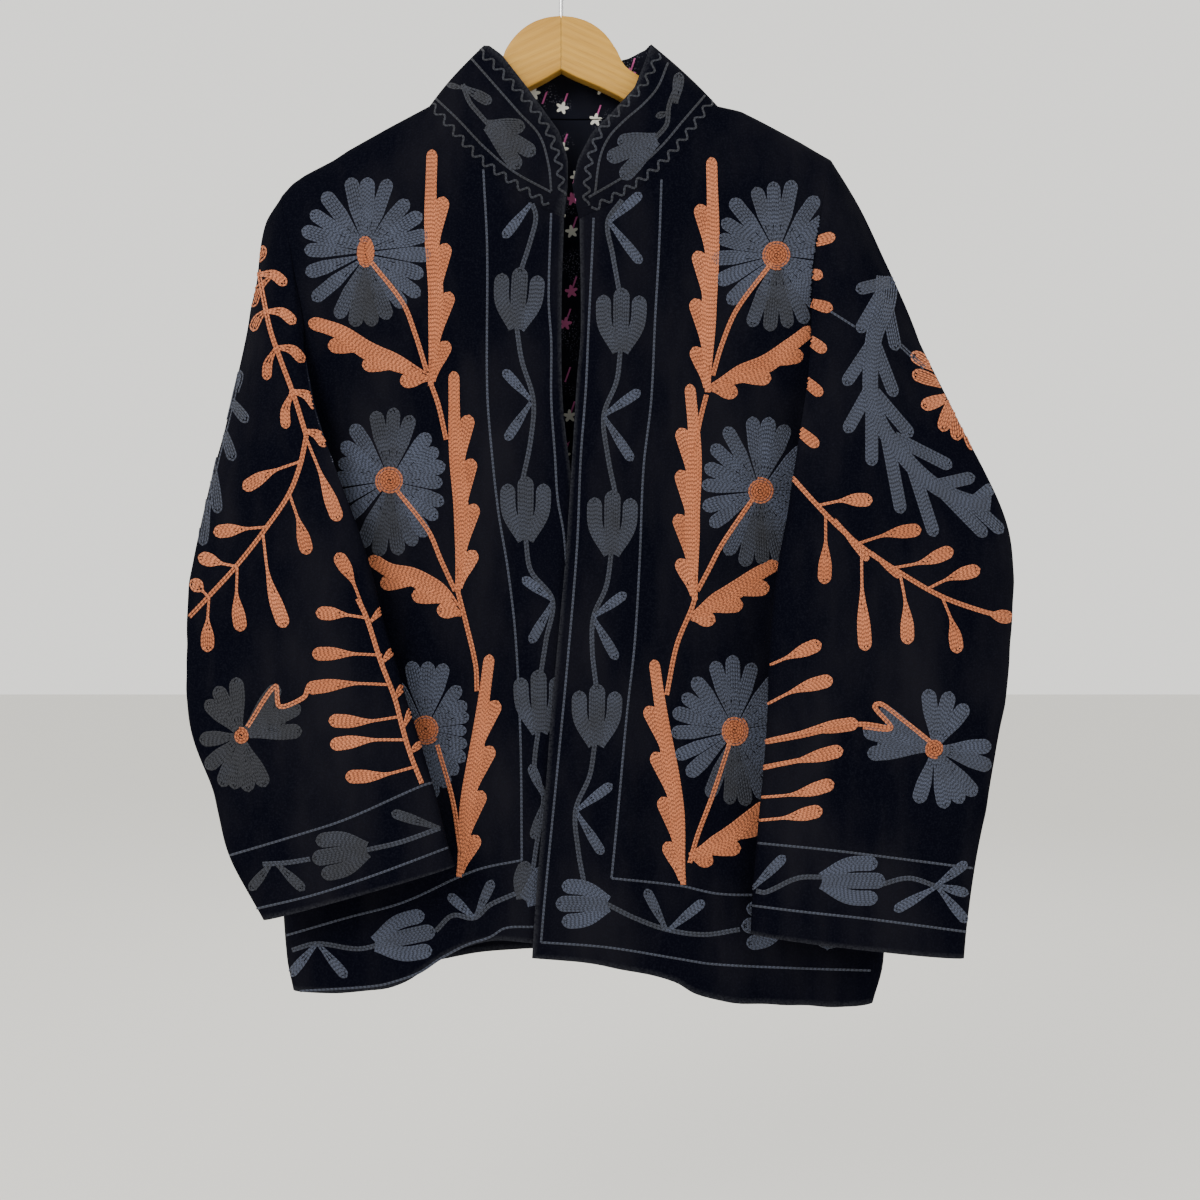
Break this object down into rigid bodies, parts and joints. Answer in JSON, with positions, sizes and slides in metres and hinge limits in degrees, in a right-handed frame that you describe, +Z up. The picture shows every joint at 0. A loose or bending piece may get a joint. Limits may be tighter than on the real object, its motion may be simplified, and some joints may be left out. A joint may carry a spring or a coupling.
{
  "type": "embroidered velvet jacket on hanger",
  "caption": "Open-fronted velvet jacket with a stand collar and raised floral embroidery, hanging on a wooden hanger.",
  "frame": {"origin": "inside top of the hanger's hook, where a rail bears on it", "axes": "+Z up, -Y to the front of the jacket, +X to the wearer's left"},
  "size_m": [0.641, 0.1005, 0.8556],
  "materials": {
    "velvet": "midnight velvet, soft pile",
    "lining": "dark smooth lining with small printed flowers",
    "grey_thread": "slate chain-stitched thread",
    "rust_thread": "rust chain-stitched thread",
    "hanger_wood": "clear varnished light wood",
    "hook_metal": "plain wire"
  },
  "bodies": {
    "root": {"right_front": "velvet", "left_front": "velvet", "back": "velvet", "right_sleeve": "velvet", "left_sleeve": "velvet", "collar": "velvet", "collar_facing": "lining", "back_lining": "lining", "hanger_right_arm": "hanger_wood", "hanger_left_arm": "hanger_wood", "hanger_hook": "hook_metal"}
  },
  "joints": []
}
